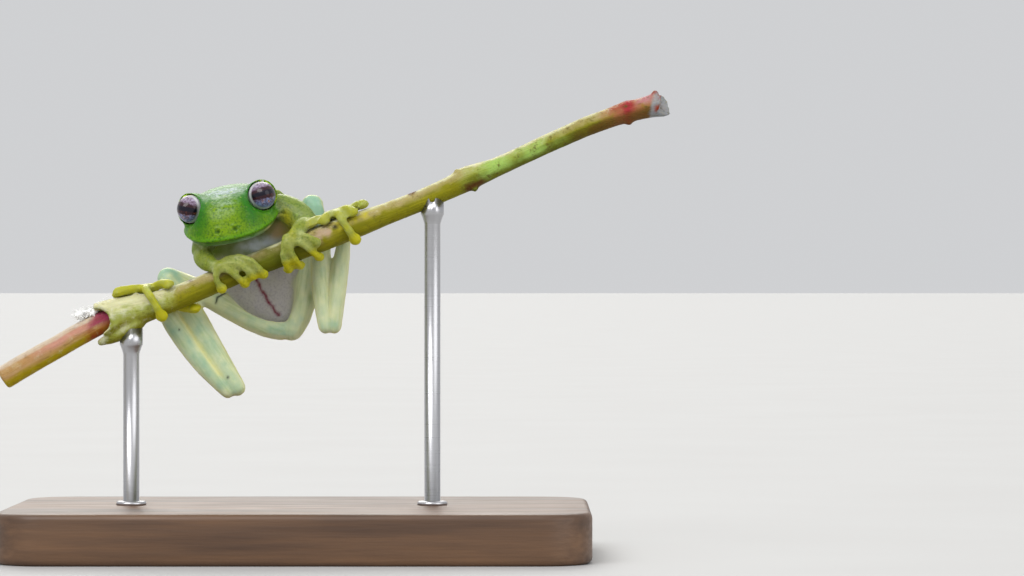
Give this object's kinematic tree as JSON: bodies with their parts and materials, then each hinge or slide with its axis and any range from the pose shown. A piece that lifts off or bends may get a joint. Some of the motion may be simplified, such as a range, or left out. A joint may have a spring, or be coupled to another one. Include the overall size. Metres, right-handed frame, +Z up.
{
  "type": "glass frog",
  "caption": "Life-size translucent green glass frog clinging behind a slanting plant stem, carried by steel rods on a flat wooden display base.",
  "frame": {"origin": "middle of the base's underside", "axes": "+Z up, +X to the viewer's right along the base's long side, -Y towards the viewer, the way the frog looks"},
  "size_m": [0.0675, 0.034, 0.0465],
  "materials": {
    "head_green": "moist, glossy",
    "back_green": "moist, translucent",
    "limb_green": "moist, translucent",
    "digit_yellow": "moist, translucent",
    "eye_silver": "clear, wet",
    "stem_green": "waxy plant skin",
    "petiole_pink": "waxy plant skin",
    "base_wood": "oiled",
    "rod_steel": "satin"
  },
  "bodies": {
    "root": {"head": "head_green", "eye_left": "eye_silver", "eye_right": "eye_silver", "torso": "back_green", "thigh_left": "limb_green", "shank_left": "limb_green", "tarsus_left": "limb_green", "upper_arm_left": "limb_green", "forearm_left": "limb_green", "hand_left": "digit_yellow", "foot_left": "digit_yellow", "thigh_right": "limb_green", "shank_right": "limb_green", "tarsus_right": "limb_green", "upper_arm_right": "limb_green", "forearm_right": "limb_green", "hand_right": "digit_yellow", "foot_right": "digit_yellow", "perch_stem": "stem_green", "perch_petiole": "petiole_pink", "stand_base": "base_wood", "stand_rod_left": "rod_steel", "stand_rod_right": "rod_steel"}
  },
  "joints": []
}
